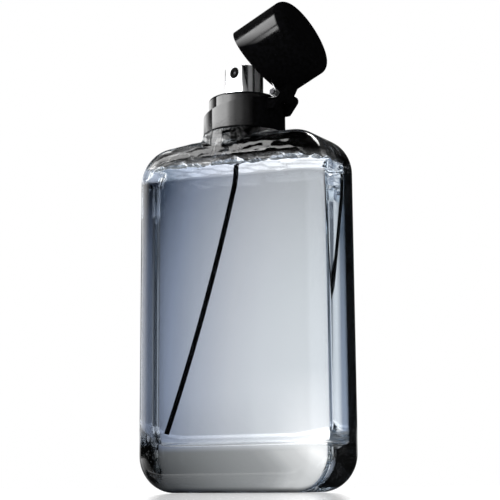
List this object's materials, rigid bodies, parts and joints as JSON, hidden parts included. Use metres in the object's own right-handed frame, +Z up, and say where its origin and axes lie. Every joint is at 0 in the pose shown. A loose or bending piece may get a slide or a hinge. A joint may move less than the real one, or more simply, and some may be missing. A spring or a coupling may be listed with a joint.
{
  "type": "aftershave bottle",
  "caption": "Flat rounded glass spray bottle with a heavy base, pale liquid, dip tube, chrome push button and a black hinged flip cap.",
  "frame": {"origin": "middle of the base, on the table", "axes": "+X along the wide side towards the hinge, +Y from front to back, +Z up"},
  "size_m": [0.067, 0.0274, 0.1523],
  "materials": {
    "clear_glass": "clear flint glass, fire polished",
    "liquid": "pale grey-blue liquid",
    "black_tube": "black extruded tube",
    "pump_plastic": "dark moulded plastic",
    "pale_plastic": "natural moulded plastic",
    "spring_steel": "bright drawn wire",
    "dark_steel": "blackened steel",
    "seal_rubber": "soft grey washer",
    "ferrule_metal": "bright sheet",
    "black_lacquer": "gloss black lacquer on die-cast metal",
    "chrome": "bright plated sheet",
    "nozzle_plastic": "black insert",
    "liner_plastic": "black moulded cup"
  },
  "bodies": {
    "bottle": {"glass_bottle": "clear_glass", "liquid_fill": "liquid", "dip_tube": "black_tube", "pump_housing": "pump_plastic", "stem_guide": "pump_plastic", "neck_gasket": "seal_rubber", "crimp_ferrule": "ferrule_metal", "collar_liner": "pump_plastic", "seat_ring": "black_lacquer", "collar_ring": "black_lacquer", "hinge_pin": "dark_steel", "hinge_spring": "spring_steel", "return_spring": "spring_steel"},
    "ball": {"check_ball": "spring_steel"},
    "plunger": {"pump_stem": "pale_plastic", "piston": "pale_plastic"},
    "button": {"actuator_core": "pump_plastic", "actuator_sleeve": "chrome", "nozzle_insert": "nozzle_plastic"},
    "cap": {"cap_shell": "black_lacquer", "cap_liner": "liner_plastic"}
  },
  "joints": [
    {"name": "cap_hinge", "type": "hinge", "parent": "bottle", "child": "cap", "pos_m": [0.01495, 0, 0.1216], "axis": [0, 1, 0], "range_deg": [-67, 45], "deforming": ["hinge_spring"]},
    {"name": "button_press", "type": "slide", "parent": "bottle", "child": "plunger", "axis": [0, 0, -1], "range_m": [0, 0.0032], "stiffness_N_per_m": 1500, "springref_m": -0.003, "deforming": ["return_spring"]},
    {"name": "button_turn", "type": "hinge", "parent": "plunger", "child": "button", "pos_m": [0, 0, 0.125], "axis": [0, 0, 1], "continuous": true},
    {"name": "ball_lift", "type": "slide", "parent": "bottle", "child": "ball", "axis": [0, 0, 1], "range_m": [0, 0.0005]}
  ]
}
